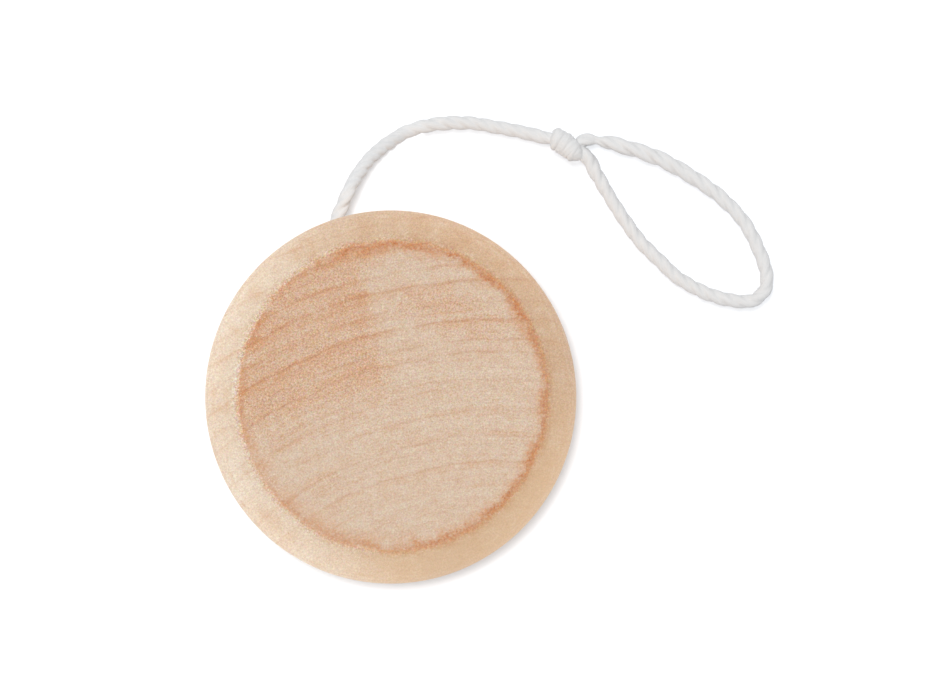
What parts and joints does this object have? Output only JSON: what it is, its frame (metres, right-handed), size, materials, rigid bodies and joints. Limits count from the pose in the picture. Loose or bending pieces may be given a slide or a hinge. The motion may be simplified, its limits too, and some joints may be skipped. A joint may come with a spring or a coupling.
{
  "type": "yo-yo",
  "caption": "Turned wooden yo-yo: two round halves on a glued dowel axle, with a laid cotton string wound in the gap and a knotted finger loop.",
  "frame": {"origin": "centre of the rear flat face, which the yo-yo lies on", "axes": "+Z along the axle from the rear flat face to the front flat face; +Y is the side the string leaves from, a little to the left of straight up when looking at the front face"},
  "size_m": [0.0763, 0.0628, 0.0301],
  "materials": {
    "turned_wood": "matte",
    "dowel_wood": "matte",
    "cotton": "matte"
  },
  "bodies": {
    "spool": {"rear_half": "turned_wood", "front_half": "turned_wood", "axle": "dowel_wood"},
    "coil": {"axle_loop": "cotton", "wound_string": "cotton"},
    "lead": {"string_lead": "cotton"},
    "near": {"string_near": "cotton"},
    "far": {"string_far": "cotton"},
    "knot_body": {"knot": "cotton"},
    "loop": {"finger_loop": "cotton"}
  },
  "joints": [
    {"name": "axle_spin", "type": "hinge", "parent": "spool", "child": "coil", "pos_m": [0, 0, 0.015], "axis": [0, 0, 1], "continuous": true},
    {"name": "mouth_swing", "type": "hinge", "parent": "coil", "child": "lead", "pos_m": [-0.01026, 0.01696, 0.015], "axis": [0, 0, 1], "range_deg": [-12, 40]},
    {"name": "mouth_lift", "type": "hinge", "parent": "lead", "child": "near", "pos_m": [-0.00659, 0.02561, 0.015], "axis": [0.9205, -0.3907, 0], "range_deg": [0, 75]},
    {"name": "string_bend", "type": "hinge", "parent": "near", "child": "far", "pos_m": [0.009, 0.03685, 0.00086], "axis": [0, 0, 1], "range_deg": [-10, 45]},
    {"name": "knot_turn", "type": "hinge", "parent": "far", "child": "knot_body", "pos_m": [0.0193, 0.0352, 0.00086], "axis": [0, 0, 1], "range_deg": [-12, 50]},
    {"name": "loop_lift", "type": "hinge", "parent": "knot_body", "child": "loop", "pos_m": [0.0284, 0.03425, 0.00086], "axis": [-0.376, -0.9266, 0], "range_deg": [0, 80]}
  ]
}
